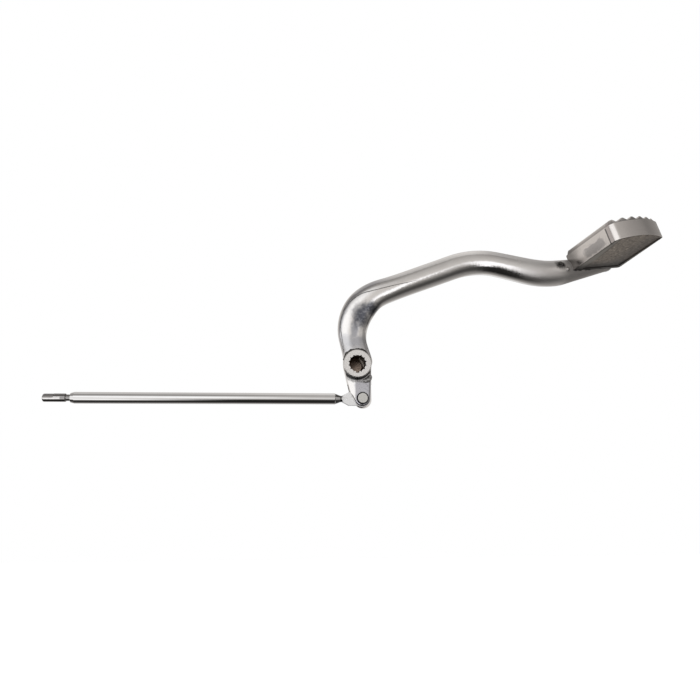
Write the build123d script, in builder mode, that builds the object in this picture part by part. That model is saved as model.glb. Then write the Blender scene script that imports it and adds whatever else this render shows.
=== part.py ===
from build123d import *
from math import copysign, cos, radians, sin, tan
import os

# Foot lever for a motorcycle: a forged arm with a splined hub, a ribbed foot pad at its
# far end, and a link rod pinned in the fork under the hub.
# Millimetres. The origin is on the hub's axis. +X runs towards the pad, +Z is up and the
# mouth of the splined bore faces -Y.

os.makedirs("parts", exist_ok=True)

# ---- driving dimensions ----

running_gap = 0.05

# forged arm, lower end: the eye behind the hub and the fork under it
arm_half_thickness = 6.75
eye_radius = 11.9
eye_x = 0.9
edge_round = 2.2
pin_x = 4.8
pin_z = -28.9
front_cheek_radius = 6.9
rear_cheek_radius = 7.6
rear_cheek_x = 5.8
rear_cheek_z = -29.2
shoulder_x = -3.6
shoulder_z = -23.4
shoulder_radius = 2.2
bevel_ridge_x = -1.3
bevel_outer_x = -12.0
bevel_slope = 12
bevel_bottom_z = -37.0
bevel_top_z = -7.0
slot_half_width = 2.8
slot_root_z = -16.4

# forged arm, centreline: from the eye up, over the crown and out to the pad
arm_start = (2.9, 0, -2.0)
neck_corner = (-3.1, 0, 23.0)
heel_corner = (-5.0, 0, 55.9)
crown_corner = (107.9, 0, 98.3)
toe_corner = (172.2, 0, 84.8)
neck_bend_radius = 30
heel_bend_radius = 41
crown_bend_radius = 75
toe_bend_radius = 60

# forged arm, section: distance along the arm, depth in the bending plane, thickness
# across it, and squareness, the exponent of the section's superellipse, which is 2 for
# an ellipse. The arm is flat-sided by the eye, deepest in the heel bend, nearly round
# over the crown and drawn down where it lies against the pad.
arm_sections = [
    (0, 19.0, 12.4, 3.4),
    (11, 24.3, 13.2, 3.0),
    (22, 23.2, 13.6, 3.0),
    (38, 26.4, 14.5, 3.0),
    (52, 28.0, 16.0, 2.8),
    (64, 26.4, 17.4, 2.6),
    (80, 22.8, 18.8, 2.4),
    (100, 21.6, 20.0, 2.2),
    (190, 22.2, 20.4, 2.1),
    (225, 24.0, 20.4, 2.1),
    (250, 23.4, 20.0, 2.1),
    (305, 14.0, 15.0, 2.3),
]
section_points = 24
arm_end_round = 2.5
section_spacing = 11.0

# splined hub
hub_radius = 12.0
hub_face_y = -14.5
hub_back_y = 8.5
spigot_radius = 9.75
hub_rim_chamfer = 0.6
spline_minor_radius = 7.0
spline_major_radius = 7.8
spline_divisions = 14
spline_root_width = 1.3
spline_tip_width = 0.85
spline_root_overlap = 0.3
master_spline_width = 2.8
master_spline_radius = 8.1
spline_end_y = 2.0
relief_radius = 5.2
relief_floor_y = 6.8

# foot pad: its inner edge lies along the arm and it reaches out towards -Y
pad_corner = (199.3, 2.0, 89.6)
pad_yaw = 22.6
pad_rise = 10.9
pad_roll = 12.5
pad_reach = 58.0
pad_outer_length = 58.0
pad_inner_length = 61.5
pad_thickness = 16.4
pad_bow = 6.5
pad_heel_round = 6.0
pad_toe_round = 1.5
pad_inner_round = 3.0
pad_edge_round = 0.8
rib_count = 6
rib_pitch = 10.2
rib_height = 3.6
rib_base = 6.6
rib_crest = 2.0
rib_crest_round = 0.9
rib_end_inset = 0.6
rib_end_slope = 20
rib_root = 1.0
recess_depth = 0.8
recess_inner_margin = 4.0
recess_toe_margin = 1.6
recess_heel_margin = 9.0
recess_corner_radius = 1.2
arm_end_along_pad = 53.0
arm_end_inset = -4.0
arm_end_lift = 6.7

# clevis pin, washer and split pin
pin_radius = 3.15
pin_head_radius = 5.2
pin_head_height = 2.4
pin_head_bevel = 1.0
pin_tail_y = 12.6
pin_tail_chamfer = 0.6
washer_radius = 6.0
washer_thickness = 1.0
split_pin_y = 9.6
split_pin_radius = 0.8
split_pin_eye_radius = 1.6
split_pin_overhang = 0.5
split_leg_radius = 0.45
split_eye_half_width = 0.65
split_leg_offset = 0.3
split_pin_leg = 2.6
split_pin_bend_radius = 1.6
split_pin_bend_angle = 55

# link rod
tongue_half_thickness = 2.5
tongue_half_height = 5.6
tongue_length = 11.6
neck_radius = 2.7
neck_distance = 18.4
flare_distance = 17.0
tube_radius = 4.85
tube_bore_radius = 3.25
tube_near = 23.0
tube_far = 244.5
tube_far_taper_length = 3.0
tube_far_taper = 0.8
tube_near_chamfer = 0.4
stem_length = 14.0
stub_radius = 3.5
undercut_radius = 2.7
undercut_end = 248.0
flat_start = 257.4
flat_shoulder = 1.6
flat_height = 1.9
flat_turn = 45
stub_tip = 267.5
stub_tip_round = 1.4

pin_location = (pin_x, pin_z)


def plane_at(y):
    """Plane facing -Y at the given Y. Its local axes are X and Z."""
    return Plane.XZ.offset(-y)


def save(part, name):
    """Label a finished piece and write it to its own file."""
    part.label = name
    export_step(part, f"parts/{name}.step")


# ---- forged arm ----

pad_along = Vector(1, 0, 0).rotate(Axis.Y, -pad_rise).rotate(Axis.Z, pad_yaw)
pad_level = Vector(0, -1, 0).rotate(Axis.Z, pad_yaw)
pad_outward = pad_level.rotate(Axis((0, 0, 0), pad_along), -pad_roll)
pad_normal = pad_outward.cross(pad_along)
pad_plane = Plane(origin=pad_corner, x_dir=pad_outward, z_dir=pad_normal)
arm_end = pad_plane.from_local_coords((arm_end_inset, arm_end_along_pad, arm_end_lift))

with BuildLine() as arm_line:
    FilletPolyline(
        arm_start,
        neck_corner,
        heel_corner,
        crown_corner,
        toe_corner,
        arm_end,
        radius=(neck_bend_radius, heel_bend_radius, crown_bend_radius, toe_bend_radius),
    )

arm_centreline = arm_line.wire()
arm_length = arm_centreline.length


def section_size(distance):
    """Depth, thickness and squareness of the arm at a distance along it."""
    for near, far in zip(arm_sections, arm_sections[1:]):
        if distance <= far[0]:
            share = (distance - near[0]) / (far[0] - near[0])
            return [a + share * (b - a) for a, b in zip(near[1:], far[1:])]
    return arm_sections[-1][1:]


def superellipse_point(angle, depth, thickness, squareness):
    """Point of a superellipse of the given size at an angle in degrees."""
    across, along = cos(radians(angle)), sin(radians(angle))
    x = copysign(abs(across) ** (2 / squareness), across) * depth / 2
    y = copysign(abs(along) ** (2 / squareness), along) * thickness / 2
    return (x, y)


def section_plane(distance):
    """Plane square to the arm, its local X towards the inside of the heel bend."""
    origin = arm_centreline.position_at(distance, position_mode=PositionMode.LENGTH)
    heading = arm_centreline.tangent_at(distance, position_mode=PositionMode.LENGTH)
    return Plane(origin=origin, x_dir=Vector(0, 1, 0).cross(heading), z_dir=heading)


with BuildPart() as lever_arm:
    # flat lower arm: one outline for the front half and a longer one for the rear
    for back_y, cheek_centre, cheek_radius in (
        (0, pin_location, front_cheek_radius),
        (arm_half_thickness, (rear_cheek_x, rear_cheek_z), rear_cheek_radius),
    ):
        with BuildSketch(plane_at(back_y)):
            with Locations((eye_x, 0)):
                Circle(eye_radius)
            with Locations((shoulder_x, shoulder_z)):
                Circle(shoulder_radius)
            with Locations(cheek_centre):
                Circle(cheek_radius)
            make_hull()
        extrude(amount=arm_half_thickness)
    front_face = lever_arm.faces().sort_by(Axis.Y)[0]
    rear_face = lever_arm.faces().sort_by(Axis.Y)[-1]
    fillet(front_face.edges() + rear_face.edges(), radius=edge_round)

    # bent upper arm
    section_total = round(arm_length / section_spacing)
    for index in range(section_total + 1):
        station = arm_length * index / section_total
        size = section_size(station)
        angles = [360 * (step + 0.5) / section_points for step in range(section_points)]
        with BuildSketch(section_plane(station)):
            with BuildLine():
                Spline([superellipse_point(angle, *size) for angle in angles], periodic=True)
            make_face()
    loft()
    arm_end_face = lever_arm.faces().sort_by_distance(arm_end)[0]
    fillet(arm_end_face.edges(), radius=arm_end_round)

    # ground bevel down the left of the front face, under the hub
    bevel_width = bevel_ridge_x - bevel_outer_x
    with BuildSketch(Plane.XY.offset(bevel_bottom_z)):
        Polygon(
            (bevel_ridge_x, -arm_half_thickness),
            (bevel_ridge_x, hub_face_y),
            (bevel_outer_x, hub_face_y),
            (bevel_outer_x, -arm_half_thickness + bevel_width * tan(radians(bevel_slope))),
            align=None,
        )
    extrude(amount=bevel_top_z - bevel_bottom_z, mode=Mode.SUBTRACT)

    # seat for the hub: a hole for its spigot and a flat for its collar
    with BuildSketch(plane_at(hub_back_y)):
        Circle(spigot_radius)
    extrude(amount=hub_back_y - hub_face_y, mode=Mode.SUBTRACT)
    with BuildSketch(plane_at(-arm_half_thickness)):
        Circle(hub_radius)
    extrude(amount=-arm_half_thickness - hub_face_y, mode=Mode.SUBTRACT)

    # slot for the rod's tongue, open below and to both sides
    slot_height = slot_root_z - pin_z + 2 * rear_cheek_radius
    slot_width = 4 * eye_radius
    with BuildSketch(plane_at(slot_half_width)):
        with Locations((pin_x, slot_root_z)):
            Rectangle(slot_width, slot_height, align=(Align.CENTER, Align.MAX))
    extrude(amount=2 * slot_half_width, mode=Mode.SUBTRACT)

    # pin hole through both cheeks
    with BuildSketch(plane_at(arm_half_thickness)):
        with Locations(pin_location):
            Circle(pin_radius + running_gap)
    extrude(amount=2 * arm_half_thickness, mode=Mode.SUBTRACT)

save(lever_arm.part, "lever_arm")

# ---- splined hub ----

with BuildPart() as splined_hub:
    with BuildSketch(plane_at(hub_back_y)):
        Circle(spigot_radius)
    extrude(amount=hub_back_y + arm_half_thickness)
    chamfer(splined_hub.faces().sort_by(Axis.Y)[-1].edges(), length=hub_rim_chamfer)
    with BuildSketch(plane_at(-arm_half_thickness)):
        Circle(hub_radius)
    extrude(amount=-arm_half_thickness - hub_face_y)
    chamfer(splined_hub.faces().sort_by(Axis.Y)[0].edges(), length=hub_rim_chamfer)

    # splined bore: narrow notches round the bore, one left out at the top, and a wide
    # master notch at the bottom
    spline_pitch = 360 / spline_divisions
    notch_inner_radius = spline_minor_radius - spline_root_overlap
    notch_depth = spline_major_radius - notch_inner_radius
    notch_places = PolarLocations(
        notch_inner_radius,
        spline_divisions - 1,
        start_angle=90 + spline_pitch,
        angular_range=360 - 2 * spline_pitch,
        endpoint=True,
    )
    with BuildSketch(plane_at(spline_end_y)):
        Circle(spline_minor_radius)
        with notch_places:
            Polygon(
                (0, -spline_root_width / 2),
                (notch_depth, -spline_tip_width / 2),
                (notch_depth, spline_tip_width / 2),
                (0, spline_root_width / 2),
                align=None,
            )
        with Locations((0, -spline_minor_radius)):
            Rectangle(master_spline_width, 2 * (master_spline_radius - spline_minor_radius))
    extrude(amount=spline_end_y - hub_face_y, mode=Mode.SUBTRACT)

    # plain relief behind the splines
    with BuildSketch(plane_at(relief_floor_y)):
        Circle(relief_radius)
    extrude(amount=relief_floor_y - spline_end_y, mode=Mode.SUBTRACT)

save(splined_hub.part, "splined_hub")

# ---- foot pad ----

pad_front = pad_reach + pad_bow
heel_corner_point = (pad_reach, 0)
toe_corner_point = (pad_reach, pad_outer_length)
inner_corner_point = (0, pad_inner_length)

with BuildSketch(Plane.XY) as pad_outline:
    with BuildLine():
        Line((0, 0), heel_corner_point)
        ThreePointArc(heel_corner_point, (pad_front, pad_outer_length / 2), toe_corner_point)
        Line(toe_corner_point, inner_corner_point)
        Line(inner_corner_point, (0, 0))
    make_face()
    for corner_point, corner_round in (
        (heel_corner_point, pad_heel_round),
        (toe_corner_point, pad_toe_round),
        (inner_corner_point, pad_inner_round),
    ):
        fillet(pad_outline.vertices().sort_by_distance(corner_point)[0], radius=corner_round)

with BuildPart() as pad_body:
    with BuildSketch(pad_plane):
        add(pad_outline.sketch)
    extrude(amount=pad_thickness)
    pad_axis = Axis(pad_corner, pad_normal)
    top_edges = pad_body.faces().sort_by(pad_axis)[-1].edges()
    bottom_edges = pad_body.faces().sort_by(pad_axis)[0].edges()
    fillet(top_edges + bottom_edges, radius=pad_edge_round)

    # shallow cast recess in the underside, with a wide rim on the heel side
    recess_width = pad_outer_length - recess_toe_margin - recess_heel_margin
    with BuildSketch(pad_plane) as recess_outline:
        with Locations((recess_inner_margin, recess_heel_margin)):
            Rectangle(pad_reach - recess_inner_margin, recess_width, align=Align.MIN)
        fillet(recess_outline.vertices(), radius=recess_corner_radius)
    extrude(amount=recess_depth, mode=Mode.SUBTRACT)

# ribs across the tread, with sloping ends a little inside the pad's outline
with BuildPart() as tread_ribs:
    rib_plane = Plane(
        origin=pad_plane.from_local_coords((0, 0, pad_thickness)),
        x_dir=pad_along,
        z_dir=pad_outward,
    )
    with BuildSketch(rib_plane) as rib_profiles:
        with Locations((pad_outer_length / 2, 0)):
            with GridLocations(rib_pitch, 1, rib_count, 1):
                Polygon(
                    (-rib_base / 2, -rib_root),
                    (-rib_base / 2, 0),
                    (-rib_crest / 2, rib_height),
                    (rib_crest / 2, rib_height),
                    (rib_base / 2, 0),
                    (rib_base / 2, -rib_root),
                    align=None,
                )
        crests = rib_profiles.vertices().group_by(pad_axis)[-1]
        fillet(crests, radius=rib_crest_round)
    extrude(amount=pad_front)
    with BuildSketch(pad_plane.offset(pad_thickness - rib_root)):
        add(pad_outline.sketch)
        offset(amount=-rib_end_inset, mode=Mode.REPLACE)
    extrude(amount=rib_root + rib_height, taper=rib_end_slope, mode=Mode.INTERSECT)

with BuildPart() as foot_pad:
    add(pad_body.part)
    add(tread_ribs.part)

    # coped onto the arm
    add(lever_arm.part, mode=Mode.SUBTRACT)

save(foot_pad.part, "foot_pad")

# ---- clevis pin, washer and split pin ----

with BuildPart() as clevis_pin:
    with BuildSketch(plane_at(-arm_half_thickness)):
        with Locations(pin_location):
            Circle(pin_head_radius)
    extrude(amount=pin_head_height)
    chamfer(clevis_pin.faces().sort_by(Axis.Y)[0].edges(), length=pin_head_bevel)
    with BuildSketch(plane_at(pin_tail_y)):
        with Locations(pin_location):
            Circle(pin_radius)
    extrude(amount=pin_tail_y + arm_half_thickness)
    chamfer(clevis_pin.faces().sort_by(Axis.Y)[-1].edges(), length=pin_tail_chamfer)
    with BuildSketch(Plane.YZ.offset(pin_x)):
        with Locations((split_pin_y, pin_z)):
            Circle(split_pin_radius + running_gap)
    extrude(amount=pin_head_radius, both=True, mode=Mode.SUBTRACT)

save(clevis_pin.part, "clevis_pin")

with BuildPart() as clevis_washer:
    with BuildSketch(plane_at(arm_half_thickness + washer_thickness)):
        with Locations(pin_location):
            Circle(washer_radius)
            Circle(pin_radius + running_gap, mode=Mode.SUBTRACT)
    extrude(amount=washer_thickness)

save(clevis_washer.part, "clevis_washer")

# split pin: an eye on the +X side of the clevis pin, a shank through it and two legs
# bent apart on the other side
split_plane = Plane(origin=(pin_x, split_pin_y, pin_z), x_dir=(0, 0, 1), z_dir=(0, 1, 0))
shank_end = pin_radius + split_pin_overhang
eye_centre = shank_end + split_pin_eye_radius
bend_side = split_pin_bend_radius * (1 - cos(radians(split_pin_bend_angle)))
bend_drop = split_pin_bend_radius * sin(radians(split_pin_bend_angle))

with BuildPart() as split_pin:
    with BuildSketch(Plane.YZ.offset(pin_x - shank_end)):
        with Locations((split_pin_y, pin_z)):
            Circle(split_pin_radius)
    extrude(amount=2 * shank_end)
    with BuildSketch(split_plane):
        with Locations((0, eye_centre)):
            Circle(split_pin_eye_radius + split_leg_radius)
            Circle(split_pin_eye_radius - split_leg_radius, mode=Mode.SUBTRACT)
    extrude(amount=split_eye_half_width, both=True)
    for side in (-1, 1):
        with BuildLine(split_plane) as leg_line:
            straight = Line((side * split_leg_offset, 0), (side * split_leg_offset, -shank_end))
            bend_end = (side * (split_leg_offset + bend_side), -shank_end - bend_drop)
            bend = TangentArc(straight @ 1, bend_end, tangent=straight % 1)
            PolarLine(bend @ 1, split_pin_leg, direction=bend % 1)
        with BuildSketch(Plane(origin=straight @ 0, x_dir=(0, 0, 1), z_dir=(-1, 0, 0))):
            Circle(split_leg_radius)
        sweep(path=leg_line.wire())

save(split_pin.part, "split_pin")

# ---- link rod ----

rod_plane = Plane(origin=(pin_x, 0, pin_z), x_dir=(-1, 0, 0), z_dir=(0, 1, 0))
rod_axis = Axis((pin_x, 0, pin_z), (-1, 0, 0))

with BuildPart() as rod_eye:
    # turned neck and the stem inside the tube
    with BuildSketch(rod_plane):
        with BuildLine():
            Polyline(
                (tongue_length, 0),
                (tongue_length, tongue_half_thickness),
                (flare_distance, neck_radius),
                (neck_distance, neck_radius),
                (tube_near, tube_radius - tube_near_chamfer),
                (tube_near, tube_bore_radius),
                (tube_near + stem_length, tube_bore_radius),
                (tube_near + stem_length, 0),
                close=True,
            )
        make_face()
    revolve(axis=rod_axis)

    # flat tongue round the clevis pin
    with BuildSketch(rod_plane.offset(-tongue_half_thickness)):
        with BuildLine():
            Polyline(
                (0, -tongue_half_height),
                (tongue_length, -tongue_half_height),
                (flare_distance, -neck_radius),
                (flare_distance, neck_radius),
                (tongue_length, tongue_half_height),
                (0, tongue_half_height),
                close=True,
            )
        make_face()
        Circle(tongue_half_height)
        Circle(pin_radius + running_gap, mode=Mode.SUBTRACT)
    extrude(amount=2 * tongue_half_thickness)

save(rod_eye.part, "rod_eye")

with BuildPart() as rod_tube:
    with BuildSketch(rod_plane):
        with BuildLine():
            Polyline(
                (tube_near, tube_bore_radius),
                (tube_near, tube_radius - tube_near_chamfer),
                (tube_near + tube_near_chamfer, tube_radius),
                (tube_far - tube_far_taper_length, tube_radius),
                (tube_far, tube_radius - tube_far_taper),
                (tube_far, tube_bore_radius),
                close=True,
            )
        make_face()
    revolve(axis=rod_axis)

save(rod_tube.part, "rod_tube")

with BuildPart() as rod_stub:
    with BuildSketch(rod_plane) as stub_profile:
        with BuildLine():
            Polyline(
                (tube_far - stem_length, 0),
                (tube_far - stem_length, tube_bore_radius),
                (tube_far, tube_bore_radius),
                (tube_far, undercut_radius),
                (undercut_end, undercut_radius),
                (undercut_end + stub_radius - undercut_radius, stub_radius),
                (stub_tip, stub_radius),
                (stub_tip, 0),
                close=True,
            )
        make_face()
    revolve(axis=rod_axis)
    tip_face = rod_stub.faces().sort_by(Axis.X)[0]
    fillet(tip_face.edges(), radius=stub_tip_round)

    # milled flat with a sloping shoulder, turned from the top towards -Y
    flat_up = Vector(0, 0, 1).rotate(Axis.X, flat_turn)
    flat_plane = Plane(origin=rod_plane.origin, x_dir=(-1, 0, 0), z_dir=Vector(-1, 0, 0).cross(flat_up))
    with BuildSketch(flat_plane):
        Polygon(
            (flat_start, stub_radius),
            (flat_start + flat_shoulder, flat_height),
            (stub_tip, flat_height),
            (stub_tip, stub_radius),
            align=None,
        )
    extrude(amount=stub_radius, both=True, mode=Mode.SUBTRACT)

save(rod_stub.part, "rod_stub")
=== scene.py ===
import math

import bmesh
import bpy
from mathutils import Matrix, Vector, noise
from mathutils.bvhtree import BVHTree


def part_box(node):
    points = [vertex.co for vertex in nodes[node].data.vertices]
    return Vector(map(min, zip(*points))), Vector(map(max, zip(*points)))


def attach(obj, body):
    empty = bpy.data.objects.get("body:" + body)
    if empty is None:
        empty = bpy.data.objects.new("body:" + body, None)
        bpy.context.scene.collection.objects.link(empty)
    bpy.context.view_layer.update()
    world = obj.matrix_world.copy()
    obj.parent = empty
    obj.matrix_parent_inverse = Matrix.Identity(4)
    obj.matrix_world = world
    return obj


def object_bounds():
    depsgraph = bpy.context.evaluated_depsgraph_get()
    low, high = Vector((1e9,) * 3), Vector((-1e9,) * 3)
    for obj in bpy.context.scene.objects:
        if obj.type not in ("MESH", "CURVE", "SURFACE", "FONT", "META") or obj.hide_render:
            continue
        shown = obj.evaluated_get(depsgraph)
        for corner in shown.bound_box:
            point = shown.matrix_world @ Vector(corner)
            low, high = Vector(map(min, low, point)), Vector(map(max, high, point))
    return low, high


# The looks of a motorcycle foot lever with its link rod, in metres, in the part's own frame:
# origin on the hub's axis, +X to the pad, +Z up, the splined bore's mouth facing -Y.

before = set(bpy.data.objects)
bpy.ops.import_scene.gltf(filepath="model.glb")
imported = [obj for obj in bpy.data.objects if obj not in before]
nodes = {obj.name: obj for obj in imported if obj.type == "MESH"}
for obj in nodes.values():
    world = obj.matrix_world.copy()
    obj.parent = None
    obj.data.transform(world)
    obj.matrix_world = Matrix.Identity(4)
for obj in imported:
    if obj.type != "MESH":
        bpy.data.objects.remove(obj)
cad_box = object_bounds()
MM = 0.001

# ---- places on the object ----

hub_low, hub_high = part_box("splined_hub")
hub_face, hub_back, hub_radius = hub_low.y, hub_high.y, hub_high.x
bore_shoulder = hub_face + 16.5 * MM  # the splines end here
bore_floor = hub_face + 21.3 * MM
pin_low, pin_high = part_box("clevis_pin")
pin_centre = (pin_low + pin_high) / 2
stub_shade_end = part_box("rod_tube")[0].x - 8.3 * MM  # the stub is painted dark as shade from the tube to here

# the pad's own directions, from the corner of its underside that is nearest the hub
pad_rise, pad_turn, pad_roll = math.radians(10.9), math.radians(22.6), math.radians(12.5)
pad_corner = Vector((199.3, 2.0, 89.6)) * MM
pad_along = Vector((1, 0, 0))
pad_along.rotate(Matrix.Rotation(-pad_rise, 3, "Y"))
pad_along.rotate(Matrix.Rotation(pad_turn, 3, "Z"))
pad_outward = Vector((0, -1, 0))
pad_outward.rotate(Matrix.Rotation(pad_turn, 3, "Z"))
pad_outward.rotate(Matrix.Rotation(-pad_roll, 3, pad_along))
pad_normal = pad_outward.cross(pad_along)
rib_top = 20.0 * MM
heel_corner_start = 50.8 * MM  # outward along the heel wall, just before its rounded corner

# ---- camera ----

camera_data = bpy.data.cameras.new("camera")
camera_data.sensor_width = 36.0
camera_data.lens = 37.51
camera_data.clip_start = 0.01
camera_data.clip_end = 20.0
camera = bpy.data.objects.new("camera", camera_data)
camera_place = Vector((-0.0549, -0.6238, -0.1017))
camera_right = Vector((0.9969, -0.0785, -0.0044))
camera_forward = Vector((0.0779, 0.9802, 0.1819))
camera_up = camera_right.cross(camera_forward)
rotation = Matrix((camera_right, camera_up, -camera_forward)).transposed()
camera.matrix_world = Matrix.Translation(camera_place) @ rotation.to_4x4()
bpy.context.scene.collection.objects.link(camera)
bpy.context.scene.camera = camera
bpy.context.scene.view_settings.view_transform = "Standard"


# ---- node helpers ----

class Shader:
    """A node tree with short ways to add nodes and wire them."""

    def __init__(self, tree):
        self.tree = tree

    def new(self, kind, settings=None, **inputs):
        """Add a node, set its properties, and set or link its inputs by name."""
        node = self.tree.nodes.new(kind)
        for key, value in (settings or {}).items():
            setattr(node, key, value)
        for key, value in inputs.items():
            self.put(node.inputs[key.replace("_", " ")], value)
        return node

    def put(self, socket, value):
        """Link a socket to an input, or set the input to a constant."""
        if isinstance(value, bpy.types.NodeSocket):
            self.tree.links.new(value, socket)
        else:
            socket.default_value = value

    def math(self, operation, a, b=0.0):
        node = self.new("ShaderNodeMath", {"operation": operation})
        self.put(node.inputs[0], a)
        self.put(node.inputs[1], b)
        return node.outputs[0]

    def plus(self, total, *values):
        for value in values:
            total = self.math("ADD", total, value)
        return total

    def minus(self, a, b):
        return self.math("SUBTRACT", a, b)

    def times(self, product, *values):
        for value in values:
            product = self.math("MULTIPLY", product, value)
        return product

    def most(self, largest, *values):
        for value in values:
            largest = self.math("MAXIMUM", largest, value)
        return largest

    def apart(self, a, b):
        """How far one value is from another."""
        return self.math("ABSOLUTE", self.minus(a, b))

    def radius(self, a, b):
        """How far a point is from an axis, from its two coordinates across it."""
        return self.math("SQRT", self.plus(self.times(a, a), self.times(b, b)))

    def vector_math(self, operation, a, b, output):
        node = self.new("ShaderNodeVectorMath", {"operation": operation})
        self.put(node.inputs[0], a)
        self.put(node.inputs[1], tuple(b))
        return node.outputs[output]

    def dot(self, a, b):
        return self.vector_math("DOT_PRODUCT", a, b, "Value")

    def distance(self, a, b):
        return self.vector_math("DISTANCE", a, b, "Value")

    def scaled(self, vector, factors):
        return self.vector_math("MULTIPLY", vector, factors, "Vector")

    def split(self, vector):
        return self.new("ShaderNodeSeparateXYZ", Vector=vector).outputs

    def step(self, value, low, high):
        """Smooth step from 0 at low to 1 at high. It falls where low is above high."""
        rising = low < high
        node = self.new("ShaderNodeMapRange", {"interpolation_type": "SMOOTHSTEP"}, Value=value)
        self.put(node.inputs["From Min"], min(low, high))
        self.put(node.inputs["From Max"], max(low, high))
        self.put(node.inputs["To Min"], 0.0 if rising else 1.0)
        self.put(node.inputs["To Max"], 1.0 if rising else 0.0)
        return node.outputs[0]

    def noise(self, vector, scale, detail=3.0, roughness=0.55):
        node = self.new("ShaderNodeTexNoise", Vector=vector, Scale=scale, Detail=detail)
        self.put(node.inputs["Roughness"], roughness)
        return node.outputs[0]

    def span(self, value, low, high):
        """Stretch a 0 to 1 value to the range from low to high."""
        return self.new("ShaderNodeMapRange", Value=value, To_Min=low, To_Max=high).outputs[0]

    def mix(self, factor, a, b):
        """Mix two colours."""
        node = self.new("ShaderNodeMix", {"data_type": "RGBA"})
        self.put(node.inputs["Factor"], factor)
        colours = [s for s in node.inputs if s.type == "RGBA"]
        for socket, colour in zip(colours, (a, b)):
            self.put(socket, colour if isinstance(colour, bpy.types.NodeSocket) else (*colour, 1.0))
        return [s for s in node.outputs if s.type == "RGBA"][0]

    def paint(self, base, mask, strength, colour):
        """Lay a colour over the base where the mask is."""
        return self.mix(self.times(mask, strength), base, colour)


class Metal(Shader):
    """A new metal material, with its object coordinates and normal to work from."""

    def __init__(self, name):
        self.material = bpy.data.materials.new(name)
        self.material.use_nodes = True
        super().__init__(self.material.node_tree)
        self.principled = self.tree.nodes["Principled BSDF"]
        self.principled.inputs["Metallic"].default_value = 1.0
        coordinates = self.new("ShaderNodeTexCoord")
        self.place = coordinates.outputs["Object"]
        self.normal = coordinates.outputs["Normal"]

    def surface(self, colour, rough, height, strength, distance):
        """Wire up the surface, with a bump from a height, and return the material."""
        bump = self.new("ShaderNodeBump", Height=height, Strength=strength, Distance=distance)
        self.put(self.principled.inputs["Base Color"], colour)
        self.put(self.principled.inputs["Roughness"], rough)
        self.put(self.principled.inputs["Normal"], bump.outputs[0])
        return self.material


# ---- surroundings ----

# The studio is three columns, left, middle and right, blended by how far a direction points
# sideways, with a grey screen and a bright window laid over them.

world = bpy.data.worlds.new("studio")
bpy.context.scene.world = world
world.use_nodes = True
world.node_tree.nodes.clear()
sky = Shader(world.node_tree)
direction = sky.new("ShaderNodeTexCoord").outputs["Generated"]
side, depth, height = sky.split(direction)
# angle of a direction above the front horizon in degrees, over the top and on to the back
angle = sky.math("DEGREES", sky.math("ARCTAN2", height, sky.times(depth, -1.0)))
ramp_place = sky.plus(sky.times(angle, 1 / 360), 0.5)


def column(stops):
    """Brightness of one side of the studio from the floor behind, under the front and over the top.
    stops are (angle in degrees, brightness). Bright stops are neutral and the others slightly warm."""
    ramp = sky.new("ShaderNodeValToRGB", Fac=ramp_place)
    ramp.color_ramp.interpolation = "EASE"
    elements = ramp.color_ramp.elements
    while len(elements) < len(stops):
        elements.new(0.5)
    for element, (degrees, level) in zip(elements, stops):
        tint = (1.0, 1.0, 1.005) if level > 0.7 else (1.0, 0.965, 0.935)
        element.position = (degrees + 180) / 360
        element.color = (*(level * share for share in tint), 1.0)
    return ramp.outputs[0]


left_side = column([
    (-180, 0.70), (-150, 0.40), (-120, 0.16), (-94, 0.03), (-66, 0.02), (-52, 0.55),
    (-40, 1.25), (-26, 1.10), (-12, 0.60), (2, 1.10), (16, 1.20), (30, 0.84),
    (46, 0.34), (68, 0.28), (94, 0.38), (130, 0.56), (180, 0.70),
])
middle = column([
    (-180, 0.75), (-153, 0.85), (-134, 0.45), (-117, 0.27), (-101, 0.11), (-88, 0.015),
    (-45, 0.02), (-32, 0.06), (-22, 0.26), (-13, 0.66), (-2, 0.76), (10, 0.68),
    (22, 0.58), (36, 0.50), (60, 0.42), (90, 0.50), (127, 0.66), (180, 0.75),
])
right_side = column([
    (-180, 0.62), (-150, 0.44), (-125, 0.30), (-104, 0.24), (-88, 0.14), (-70, 0.07),
    (-56, 0.07), (-40, 0.12), (-26, 0.24), (-16, 0.38), (-5, 0.50), (8, 0.60),
    (25, 0.52), (45, 0.36), (63, 0.28), (90, 0.20), (125, 0.26), (180, 0.62),
])
# low in front, the middle column reaches further to the left
low_shift = sky.times(sky.step(angle, -12, -34), 0.13)
left_part = sky.mix(sky.step(sky.plus(side, low_shift), -0.14, 0.06), left_side, middle)
studio = sky.mix(sky.step(side, 0.14, 0.46), left_part, right_side)
# a grey screen far to the right, from the horizon up
screen = sky.times(sky.step(side, 0.55, 0.75), sky.step(angle, -30, -5), sky.step(angle, 60, 30))
studio = sky.paint(studio, screen, 0.8, (0.27, 0.26, 0.25))
# a narrow bright window low in front, a little to the right of the camera
window_across = sky.times(sky.step(side, 0.13, 0.18), sky.step(side, 0.31, 0.27))
window_up = sky.times(sky.step(angle, -41, -33), sky.step(angle, 12, -2))
studio = sky.mix(sky.times(window_across, window_up), studio, (1.35, 1.35, 1.38))
# the camera sees plain white, and only reflections see the studio
reflected = sky.new("ShaderNodeBackground", Color=studio, Strength=1.0)
seen = sky.new("ShaderNodeBackground", Color=(1.0, 1.0, 1.0, 1.0), Strength=1.0)
chosen = sky.new("ShaderNodeMixShader")
sky.put(chosen.inputs[0], sky.new("ShaderNodeLightPath").outputs["Is Camera Ray"])
sky.put(chosen.inputs[1], reflected.outputs[0])
sky.put(chosen.inputs[2], seen.outputs[0])
sky.new("ShaderNodeOutputWorld", Surface=chosen.outputs[0])


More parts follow.
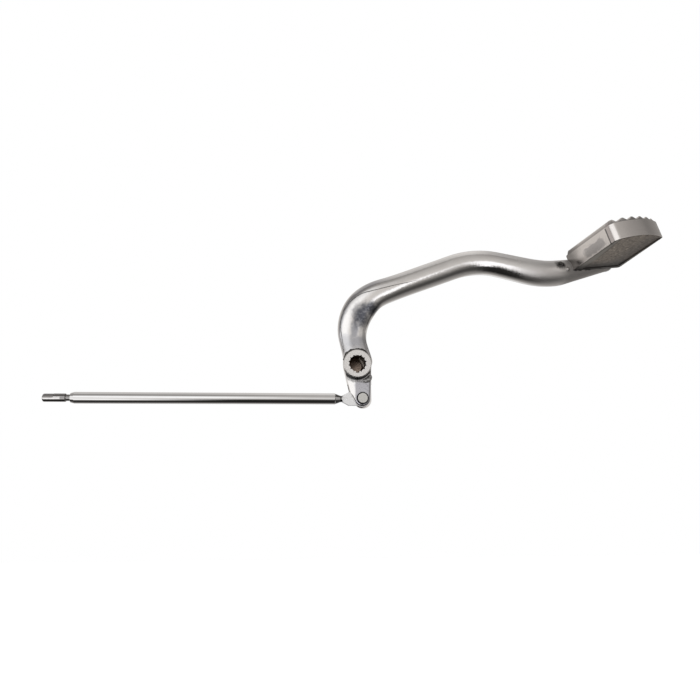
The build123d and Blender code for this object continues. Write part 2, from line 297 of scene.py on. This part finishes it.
def area_light(name, place, target, size, power):
    """A soft rectangular light aimed at a point."""
    data = bpy.data.lights.new(name, "AREA")
    data.shape = "RECTANGLE"
    data.size, data.size_y = size
    data.energy = power
    light = bpy.data.objects.new(name, data)
    heading = Vector(target) - Vector(place)
    aim = heading.to_track_quat("-Z", "Y").to_matrix().to_4x4()
    light.matrix_world = Matrix.Translation(place) @ aim
    light.visible_camera = False
    bpy.context.scene.collection.objects.link(light)


area_light("overhead", (0.0, 0.1, 1.3), (0, 0, 0.04), (1.6, 1.2), 1.2)


# ---- floor ----

def make_floor():
    """A pale flat floor far under the object, reaching far behind it."""
    mesh = bpy.data.meshes.new("floor")
    shape = bmesh.new()
    bmesh.ops.create_grid(shape, x_segments=1, y_segments=1, size=6.0)
    shape.to_mesh(mesh)
    shape.free()
    floor = bpy.data.objects.new("floor", mesh)
    floor.location = (0, 0, -0.75)
    bpy.context.scene.collection.objects.link(floor)
    material = bpy.data.materials.new("pale_floor")
    material.use_nodes = True
    shader = Shader(material.node_tree)
    principled = material.node_tree.nodes["Principled BSDF"]
    place = shader.new("ShaderNodeTexCoord").outputs["Object"]
    tone = shader.mix(shader.noise(place, 3.0), (0.90, 0.90, 0.90), (0.93, 0.93, 0.93))
    shader.put(principled.inputs["Base Color"], tone)
    principled.inputs["Roughness"].default_value = 0.9
    principled.inputs["Emission Color"].default_value = (1.0, 1.0, 1.0, 1.0)
    principled.inputs["Emission Strength"].default_value = 0.8
    mesh.materials.append(material)
    floor.visible_glossy = False
    floor.visible_diffuse = False


make_floor()


# ---- the arm's material ----

def bend_tarnish(s, base, ragged_by, front):
    """A dark tarnished stain inside the heel bend and a dull flat under the hub. Also returns how
    dull.
    """
    x, y, z = s.split(s.place)

    def stain(centre, squash, outer, inner):
        """A ragged round stain on the front of the arm, squashed along X and Z, from its centre's
        x and z and its radii where it starts and where it is full, in millimetres."""
        along_x, along_z = squash
        middle_of = (centre[0] * MM * along_x, -7.0 * MM, centre[1] * MM * along_z)
        away = s.distance(s.scaled(s.place, (along_x, 1.0, along_z)), middle_of)
        return s.times(s.step(s.plus(away, ragged_by), outer * MM, inner * MM), front)

    # a dark cloud inside the heel bend, its tail along the inner edge, and haze under it
    cloud = s.most(stain((3.8, 43.0), (0.95, 0.66), 10.6, 2.6),
                   stain((12.0, 49.6), (0.55, 1.0), 9.0, 2.4))
    haze = s.most(stain((-1.8, 30.0), (1.5, 0.62), 7.5, 2.5),
                  stain((0.5, 20.5), (0.62, 0.9), 6.5, 2.0))
    # the flat between the hub and the pin is dull, but for the bevel on its left
    bevel_edge = s.plus(x, s.times(ragged_by, 0.45))
    fork_flat = s.times(s.step(z, -0.009, -0.013), s.step(bevel_edge, -0.0030, -0.0004),
                        s.step(y, -0.0040, -0.0050))
    dull = s.most(cloud, fork_flat, s.times(haze, 0.6))
    speckle = s.times(dull, s.step(s.noise(s.place, 620.0, 3.0, 0.7), 0.50, 0.66))
    pitting = s.times(fork_flat, s.step(s.noise(s.place, 480.0, 4.0, 0.7), 0.56, 0.64))
    base = s.paint(base, fork_flat, 0.85, (0.50, 0.50, 0.54))
    base = s.paint(base, haze, 0.75, (0.30, 0.31, 0.345))
    base = s.paint(base, cloud, 0.94, (0.065, 0.07, 0.09))
    base = s.paint(base, speckle, 0.25, (0.72, 0.73, 0.76))
    base = s.paint(base, pitting, 0.45, (0.20, 0.20, 0.22))
    return base, dull


def heel_painted_shading(s, base, front):
    """The heel's outer side is painted taupe as a reflection, with a grey shadow painted as a strip
    where it meets the parting line.
    """
    x, _, z = s.split(s.place)
    outward = s.dot(s.normal, (-0.83, 0.0, 0.56))  # up and away from the pad
    # painted reflection: the side turned up and away from the pad is painted taupe
    flank_reflection = s.times(s.step(outward, 0.66, 0.80), s.step(x, 0.075, 0.030))
    base = s.paint(base, flank_reflection, 0.20, (0.50, 0.465, 0.44))
    # painted shadow: a grey strip beside the parting line at the heel
    shadow_band = s.times(s.step(outward, 0.22, 0.44), s.step(outward, 0.84, 0.66))
    at_heel = s.times(s.step(x, 0.040, 0.010), s.step(z, 0.010, 0.030))
    return s.paint(base, s.times(shadow_band, at_heel, front), 0.60, (0.33, 0.33, 0.36))


def hub_surround(s, base, ragged_by, front):
    """A grey veil over the root of the arm, and a painted shadow and a rough grey fillet under the
    hub.
    """
    x, y, z = s.split(s.place)
    veil = s.times(s.step(s.plus(z, ragged_by), 0.030, 0.023), s.step(z, 0.004, 0.012), front)
    base = s.paint(base, veil, 0.65, (0.50, 0.50, 0.52))
    radius = s.radius(x, z)
    under_hub = s.times(s.step(z, -0.0035, -0.0070), s.step(y, -0.0030, -0.0045))
    # the fillet widens to the right, where it meets the modelled bead
    widening = s.times(s.step(x, 0.001, 0.007), -0.0022)
    fillet_edge = s.plus(radius, widening, s.times(ragged_by, 0.5))
    fillet = s.times(s.step(fillet_edge, 0.0158, 0.0142), under_hub)
    clumps = s.step(s.noise(s.place, 900.0, 4.0, 0.7), 0.42, 0.60)
    crust = s.mix(clumps, (0.14, 0.137, 0.135), (0.46, 0.45, 0.44))
    base = s.paint(base, fillet, 0.80, crust)
    # painted shadow: a black ring on the arm just beyond the hub's rim, under the hub
    painted_shade = s.times(s.step(radius, hub_radius + 1.6 * MM, hub_radius + 0.9 * MM), under_hub)
    return s.paint(base, painted_shade, 0.92, (0.02, 0.02, 0.02))


def forged_steel():
    """Hand-polished forging: satin mottling, fine polishing lines, tarnish and heat marks."""
    s = Metal("polished_forging")
    x, y, _ = s.split(s.place)
    patches = s.noise(s.place, 70.0, 4.0)
    fine = s.noise(s.place, 900.0, 3.0, 0.7)
    lines = s.noise(s.scaled(s.place, (1.0, 1.0, 0.12)), 1500.0, 2.0)
    ragged_by = s.span(s.noise(s.place, 260.0, 4.0), -0.0035, 0.0035)
    front = s.step(y, -0.0005, -0.0025)  # the half of the arm that faces the hub's mouth
    base = s.mix(patches, (0.78, 0.755, 0.735), (0.90, 0.885, 0.87))
    base, dull = bend_tarnish(s, base, ragged_by, front)
    base = heel_painted_shading(s, base, front)
    base = hub_surround(s, base, ragged_by, front)
    # heat-dulled where the pad is welded on, and burnt black round the weld behind it
    heated = s.step(s.plus(x, ragged_by), 0.184, 0.197)
    base = s.paint(base, heated, 0.62, (0.34, 0.325, 0.31))
    squash = Vector((0.8, 0.6, 1.0))
    from_weld = s.distance(s.scaled(s.place, squash), Vector((0.1868, -0.0070, 0.0943)) * squash)
    burn = s.step(s.plus(from_weld, s.times(ragged_by, 0.8)), 0.0062, 0.0030)
    base = s.paint(base, burn, 0.88, (0.04, 0.037, 0.035))
    # polished bright up to the crown, and left satin past it
    satin = s.step(x, 0.130, 0.160)
    rough = s.plus(s.span(fine, 0.07, 0.15), s.times(dull, 0.14), s.times(heated, 0.20),
                   s.times(satin, 0.27))
    grain = s.plus(fine, s.times(lines, 0.5))
    return s.surface(base, rough, grain, 0.10, 0.2 * MM)


# ---- the hub's material ----

def turned_steel():
    """Hub: faced in a lathe, with painted shade and painted light in its bore."""
    s = Metal("turned_hub")
    x, y, z = s.split(s.place)
    radius = s.radius(x, z)
    ring_pitch = 0.35 * MM
    rings = s.math("SINE", s.times(radius, 2 * math.pi / ring_pitch))
    mottle = s.noise(s.place, 500.0, 4.0)
    face = s.mix(mottle, (0.86, 0.835, 0.81), (0.93, 0.91, 0.89))
    # painted shade: the lower half of the outside is black, behind the bright rim
    scale = s.times(
        s.step(radius, hub_radius - 0.7 * MM, hub_radius - 0.4 * MM),
        s.step(y, hub_face + 0.5 * MM, hub_face + 0.9 * MM),
        s.step(z, -0.0035, -0.0065),
    )
    face = s.paint(face, scale, 0.95, (0.03, 0.029, 0.03))
    # bore: walls painted near black as shade, a brown floor painted lighter to the lower right as
    # light, and a painted glint on the shoulder behind the splines
    in_bore = s.times(
        s.step(radius, 0.0090, 0.0085),
        s.step(y, hub_face + 0.01 * MM, hub_face + 0.08 * MM),
        s.step(y, hub_back - 0.5 * MM, hub_back - 0.9 * MM),
    )
    grit = s.noise(s.place, 420.0, 4.0)
    # painted light: the floor is lighter towards the lower right
    lit = s.step(s.minus(x, z), -0.005, 0.005)
    floor = s.mix(lit, (0.09, 0.065, 0.052), (0.42, 0.33, 0.27))
    at_floor = s.step(y, bore_floor - 0.2 * MM, bore_floor - 0.05 * MM)
    # painted shade: the bore walls are near black, with grit
    painted_shade = s.mix(grit, (0.010, 0.007, 0.005), (0.055, 0.034, 0.024))
    bore_shade_and_glint = s.mix(at_floor, painted_shade, floor)
    # painted highlight: a glint on the shoulder's face, to the upper right
    shoulder = s.step(s.apart(y, bore_shoulder), 0.08 * MM, 0.04 * MM)
    glint = s.step(s.plus(s.times(x, 0.88), s.times(z, 0.47)), 0.0048, 0.0062)
    bore_shade_and_glint = s.mix(s.times(shoulder, glint), bore_shade_and_glint, (0.42, 0.37, 0.32))
    rough = s.plus(s.span(mottle, 0.40, 0.52), s.times(in_bore, -0.08))
    grain = s.plus(s.times(rings, 0.25), mottle)
    return s.surface(s.mix(in_bore, face, bore_shade_and_glint), rough, grain, 0.25, 0.08 * MM)


# ---- the pad's material ----

def cast_skin(s, grit, patches, along, reach):
    """The pad's underside: rough and brown, with painted shade darker towards the toe, smoother along
    the heel.
    """
    skin = s.mix(s.step(grit, 0.34, 0.60), (0.11, 0.092, 0.075), (0.36, 0.31, 0.26))
    skin = s.mix(s.step(grit, 0.61, 0.68), skin, (0.85, 0.77, 0.67))
    # painted shade: darker towards the toe
    skin = s.paint(skin, s.step(along, 0.026, 0.050), 0.65, (0.11, 0.10, 0.092))
    # a smoother strip along the heel edge, narrower to the front, and a dark line behind it
    heel_strip = s.mix(patches, (0.25, 0.235, 0.21), (0.34, 0.32, 0.29))
    strip_width = s.minus(0.0125, s.times(reach, 0.16))
    past_strip = s.minus(along, strip_width)
    skin = s.mix(s.step(past_strip, 0.0004, -0.0004), skin, heel_strip)
    crease = s.step(s.apart(past_strip, 0.0006), 0.0010, 0.0003)
    return s.paint(skin, crease, 0.70, (0.06, 0.054, 0.05))


def cast_steel():
    """Pad: linished walls and ribs, and a rough brown underside left as cast."""
    s = Metal("cast_pad")
    along, reach, lift = (
        s.minus(s.dot(s.place, heading), pad_corner.dot(heading))
        for heading in (pad_along, pad_outward, pad_normal)
    )
    patches = s.noise(s.place, 90.0, 4.0)
    fine = s.noise(s.place, 1100.0, 4.0, 0.7)
    grit = s.noise(s.place, 420.0, 5.0, 0.7)
    wall = s.mix(patches, (0.76, 0.72, 0.69), (0.88, 0.84, 0.81))
    under = s.step(s.dot(s.normal, -pad_normal), 0.55, 0.85)
    base = s.mix(under, wall, cast_skin(s, grit, patches, along, reach))
    # grime between the ribs
    upward = s.step(s.dot(s.normal, pad_normal), 0.25, 0.45)
    grime = s.times(s.step(lift, rib_top - 0.4 * MM, rib_top - 2.4 * MM), upward)
    base = s.paint(base, grime, 0.80, (0.10, 0.094, 0.09))
    # painted shadow in the corner under the pad along its weld to the arm, and painted shade darkening
    # the end beside the arm
    painted_shade = s.times(s.step(s.plus(reach, s.span(grit, -0.006, 0.006)), 0.017, 0.005), under)
    base = s.paint(base, painted_shade, 0.85, (0.03, 0.027, 0.024))
    shade_by_arm = s.step(s.plus(reach, s.span(patches, -0.004, 0.004)), 0.021, 0.004)
    base = s.paint(base, shade_by_arm, 0.72, (0.09, 0.085, 0.082))
    # worn dark patch on the heel wall, and a dark line painted as a reflection where its corner starts
    ragged_by = s.span(s.noise(s.place, 300.0, 3.0), -0.004, 0.004)
    patch_reach = s.step(s.apart(s.plus(reach, ragged_by), 0.033), 0.014, 0.010)
    patch_lift = s.step(s.apart(s.plus(lift, ragged_by), 0.0062), 0.0052, 0.0034)
    patch = s.times(patch_reach, patch_lift, s.step(along, 0.0012, 0.0006))
    base = s.paint(base, patch, 0.60, (0.33, 0.325, 0.33))
    # painted reflection: a dark line where the heel wall's corner starts
    from_corner_line = s.apart(reach, s.plus(heel_corner_start, s.times(ragged_by, 0.08)))
    corner_reflection_line = s.times(s.step(from_corner_line, 0.0009, 0.0004), s.step(along, 0.004, 0.002),
                    s.step(lift, 0.0158, 0.0145))
    base = s.paint(base, corner_reflection_line, 0.85, (0.07, 0.068, 0.07))
    # a darker band painted as a reflection just past that line
    flank_reflection = s.times(
        s.step(reach, heel_corner_start + 0.4 * MM, heel_corner_start + 0.8 * MM),
        s.step(reach, heel_corner_start + 5.2 * MM, heel_corner_start + 3.7 * MM),
        s.minus(1.0, under),
    )
    base = s.paint(base, flank_reflection, 0.55, (0.42, 0.375, 0.375))
    rough = s.plus(s.span(fine, 0.16, 0.26), s.times(under, 0.22))
    recess = s.times(under, s.step(lift, 0.0003, 0.0006))
    height = s.plus(s.times(fine, 0.03), s.times(recess, grit))
    return s.surface(base, rough, height, 0.6, 0.5 * MM)


# ---- the pin's and the rod's materials ----

def plated(name, dark, light, rough, grain_scale):
    """Plated steel with faint mottling."""
    s = Metal(name)
    mottle = s.noise(s.place, grain_scale, 3.0)
    return s.surface(s.mix(mottle, dark, light), s.span(mottle, *rough), mottle, 0.08, 0.1 * MM)


def pin_steel():
    """Dull plated pin, the bevel round its head painted near black as shade with grime."""
    s = Metal("pin_zinc")
    x, y, z = s.split(s.place)
    radius = s.radius(s.minus(x, pin_centre.x), s.minus(z, pin_centre.z))
    mottle = s.noise(s.place, 600.0, 4.0)
    ragged = s.plus(radius, s.span(mottle, -0.0002, 0.0002))
    # painted shade with grime: the bevel round the head is near black
    grime = s.times(s.step(ragged, 0.00405, 0.0043), s.step(y, -0.0060, -0.0064))
    zinc = s.mix(mottle, (0.66, 0.65, 0.62), (0.78, 0.77, 0.74))
    colour = s.mix(grime, zinc, (0.02, 0.02, 0.022))
    return s.surface(colour, s.span(mottle, 0.40, 0.52), mottle, 0.12, 0.1 * MM)


def eye_steel():
    """Plated eye of the rod: satin tongue, polished neck with dark reflections painted above and
    below, and painted shade in a groove and on faces turned down.
    """
    s = Metal("plated_eye")
    x, _, z = s.split(s.place)
    mottle = s.noise(s.place, 400.0, 3.0)
    neck = s.step(x, -0.0110, -0.0126)
    # painted reflection: the neck is dark above and below its middle
    neck_dark_reflection = s.times(s.step(s.apart(z, pin_centre.z), 0.0012, 0.0020), neck)
    # painted shade in a groove on the neck
    groove = s.times(s.step(x, -0.0124, -0.0130), s.step(x, -0.0146, -0.0138))
    # painted shade: faces turned downwards are dark
    under = s.step(s.split(s.normal)[2], -0.75, -0.92)
    base = s.mix(mottle, (0.84, 0.84, 0.84), (0.90, 0.90, 0.90))
    base = s.paint(base, neck_dark_reflection, 0.80, (0.05, 0.05, 0.052))
    base = s.paint(base, groove, 0.75, (0.03, 0.03, 0.032))
    base = s.paint(base, under, 0.85, (0.08, 0.08, 0.085))
    rough = s.minus(s.span(mottle, 0.26, 0.34), s.times(neck, 0.18))
    return s.surface(base, rough, mottle, 0.08, 0.1 * MM)


def stub_steel():
    """Plated stub, painted dark as reflections along its upper side and along its underside, and as
    shade next to the tube.
    """
    s = Metal("plated_stub")
    x, _, z = s.split(s.place)
    mottle = s.noise(s.place, 500.0, 3.0)
    above_axis = s.plus(s.minus(z, pin_centre.z), s.span(mottle, -0.0003, 0.0003))
    # painted reflection: dark bands along the stub's upper side and underside
    upper = s.step(above_axis, 0.0, 0.0008)
    lower = s.step(above_axis, -0.0014, -0.0020)
    # painted shade next to the tube, over the undercut
    by_tube = s.step(x, stub_shade_end - 0.2 * MM, stub_shade_end + 0.2 * MM)
    stub_shade_and_reflection = s.most(upper, lower, s.times(by_tube, 0.8))
    base = s.mix(mottle, (0.76, 0.74, 0.73), (0.86, 0.85, 0.84))
    base = s.paint(base, stub_shade_and_reflection, 0.85, (0.16, 0.15, 0.148))
    return s.surface(base, s.span(mottle, 0.06, 0.12), mottle, 0.08, 0.1 * MM)


def weld_metal(name, dark, light, rough):
    """Weld bead: oxidised, with brighter ripples."""
    s = Metal(name)
    clumps = s.noise(s.place, 700.0, 5.0, 0.7)
    colour = s.mix(s.step(clumps, 0.40, 0.65), dark, light)
    return s.surface(colour, s.span(clumps, *rough), clumps, 0.6, 0.3 * MM)


zinc_finish = plated("dull_zinc", (0.60, 0.59, 0.56), (0.74, 0.73, 0.70), (0.34, 0.46), 800.0)
node_materials = {
    "lever_arm": forged_steel(),
    "splined_hub": turned_steel(),
    "foot_pad": cast_steel(),
    "clevis_pin": pin_steel(),
    "clevis_washer": zinc_finish,
    "split_pin": zinc_finish,
    "rod_tube": plated("chrome_tube", (0.80, 0.79, 0.78), (0.86, 0.855, 0.85), (0.03, 0.06), 150.0),
    "rod_stub": stub_steel(),
    "rod_eye": eye_steel(),
}
for name, material in node_materials.items():
    nodes[name].data.materials.clear()
    nodes[name].data.materials.append(material)


# ---- welds and parting line ----

def smooth_path(points, steps):
    """Catmull-Rom points through a few control points."""
    points = [Vector(p) for p in points]
    padded = [points[0] * 2 - points[1], *points, points[-1] * 2 - points[-2]]
    path = []
    for a, b, c, d in zip(padded, padded[1:], padded[2:], padded[3:]):
        for step in range(steps):
            t = step / steps
            path.append(
                0.5 * (2 * b + (c - a) * t + (2 * a - 5 * b + 4 * c - d) * t * t
                       + (3 * b - a - 3 * c + d) * t ** 3)
            )
    path.append(points[-1])
    return path


def lumpy_ring(shape, centre, across, other, radius, taper, lump, seed, sides):
    """A ring of vertices round a point of a bead, with coarse lumps and finer ones at half height."""
    coarse_size, fine_size = 2.2 * radius, 0.8 * radius
    ring = []
    for corner in range(sides):
        turned = 2 * math.pi * corner / sides
        outward = across * math.cos(turned) + other * math.sin(turned)
        place = centre + outward * radius
        coarse = noise.noise(place / coarse_size + Vector((seed, 0, 0)))
        fine = noise.noise(place / fine_size + Vector((0, seed, 0)))
        reach = radius * taper * (1 + lump * coarse + 0.5 * lump * fine)
        ring.append(shape.verts.new(centre + outward * reach))
    return ring


def bead(name, path, radius, lump, material, seed, sides=12):
    """A closed lumpy tube along a path, thinned at both ends."""
    shape = bmesh.new()
    rings = []
    last = len(path) - 1
    end_share, thinning = 0.04, 0.35
    across = (path[1] - path[0]).orthogonal()
    for index, point in enumerate(path):
        ahead = path[min(index + 1, last)] - path[max(index - 1, 0)]
        across = (across - across.project(ahead)).normalized()
        other = ahead.cross(across).normalized()
        share = min(max(index / last, end_share), 1 - end_share)
        taper = math.sin(math.pi * share) ** thinning
        rings.append(lumpy_ring(shape, point, across, other, radius, taper, lump, seed, sides))
    for ring, following in zip(rings, rings[1:]):
        for corner in range(sides):
            nxt = (corner + 1) % sides
            shape.faces.new((ring[corner], ring[nxt], following[nxt], following[corner]))
    shape.faces.new(rings[0][::-1])
    shape.faces.new(rings[-1])
    for face in shape.faces:
        face.smooth = True
    bmesh.ops.recalc_face_normals(shape, faces=shape.faces)
    mesh = bpy.data.meshes.new(name)
    shape.to_mesh(mesh)
    shape.free()
    mesh.materials.append(material)
    piece = bpy.data.objects.new(name, mesh)
    bpy.context.scene.collection.objects.link(piece)
    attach(piece, "lever")


def hub_arc(start, end, radius, y, steps):
    """Points on a circle round the hub's axis, angles in degrees from +X to +Z."""
    angles = [math.radians(start + (end - start) * i / steps) for i in range(steps + 1)]
    return [Vector((radius * math.cos(a), y, radius * math.sin(a))) for a in angles]


dark_weld = weld_metal("dark_weld", (0.05, 0.048, 0.046), (0.24, 0.23, 0.22), (0.45, 0.65))
grey_weld = weld_metal("grey_weld", (0.38, 0.375, 0.37), (0.72, 0.71, 0.695), (0.50, 0.65))
burr = weld_metal("parting_burr", (0.16, 0.16, 0.165), (0.52, 0.51, 0.50), (0.4, 0.6))
burnt_weld = weld_metal("burnt_weld", (0.035, 0.033, 0.032), (0.24, 0.23, 0.22), (0.55, 0.75))
bright_weld = weld_metal("bright_weld", (0.22, 0.21, 0.20), (0.82, 0.79, 0.76), (0.25, 0.4))

# round the hub: a thin bead over it, and a fat one where the fillet ends at its lower right
upper_arc = hub_arc(40, 165, 12.2 * MM, -12.6 * MM, 100)
bead("hub_weld_upper", upper_arc, 1.25 * MM, 0.8, dark_weld, 3.0)
lower_path = [
    (0.0056, -0.0070, -0.0138), (0.0078, -0.0070, -0.0134), (0.0098, -0.0066, -0.0124),
    (0.0110, -0.0058, -0.0106), (0.0110, -0.0048, -0.0078),
]
bead("hub_weld_lower", smooth_path(lower_path, 16), 2.4 * MM, 0.30, grey_weld, 7.0, 16)

# round the pad's end: a burnt lump behind it, a bright drip in front and the seam under it
back_path = [(0.1842, -0.0016, 0.0954), (0.1872, -0.0016, 0.0944), (0.1902, -0.0006, 0.0952)]
bead("pad_weld_back", smooth_path(back_path, 14), 3.7 * MM, 0.35, burnt_weld, 14.0, 16)
toe_path = [(0.1928, -0.0016, 0.0930), (0.1933, -0.0018, 0.0905), (0.1938, -0.0012, 0.0885)]
bead("pad_weld_toe", smooth_path(toe_path, 14), 2.2 * MM, 0.6, bright_weld, 11.0, 16)
seam_path = [
    (0.1950, -0.0005, 0.0905), (0.2010, 0.0012, 0.0906), (0.2073, 0.0042, 0.0918),
    (0.2186, 0.0086, 0.0946), (0.2301, 0.0128, 0.0972), (0.2420, 0.0172, 0.0998),
]
bead("pad_weld_seam", smooth_path(seam_path, 24), 1.15 * MM, 0.6, dark_weld, 21.0)

# parting line of the forging, laid on the front of the arm from the hub round the heel bend
line_points = [
    (-0.0108, 0, 0.011), (-0.0120, 0, 0.020), (-0.0136, 0, 0.031), (-0.0130, 0, 0.042),
    (-0.0090, 0, 0.0520), (-0.0022, 0, 0.0586), (0.0055, 0, 0.0632), (0.0165, 0, 0.0662),
    (0.0262, 0, 0.0688), (0.0358, 0, 0.0712), (0.0450, 0, 0.0732), (0.0540, 0, 0.0756),
]
line_height = 0.12 * MM
arm_mesh = nodes["lever_arm"].data
arm_tree = BVHTree.FromPolygons(
    [v.co.copy() for v in arm_mesh.vertices],
    [tuple(p.vertices) for p in arm_mesh.polygons],
)
line_path = []
for point in smooth_path(line_points, 8):
    in_front = Vector((point.x, cad_box[0][1], point.z))
    hit, normal = arm_tree.ray_cast(in_front, Vector((0, 1, 0)))[:2]
    if hit:
        line_path.append(hit + normal * line_height)
bead("arm_parting_line", line_path, 0.30 * MM, 0.7, burr, 5.0, 8)
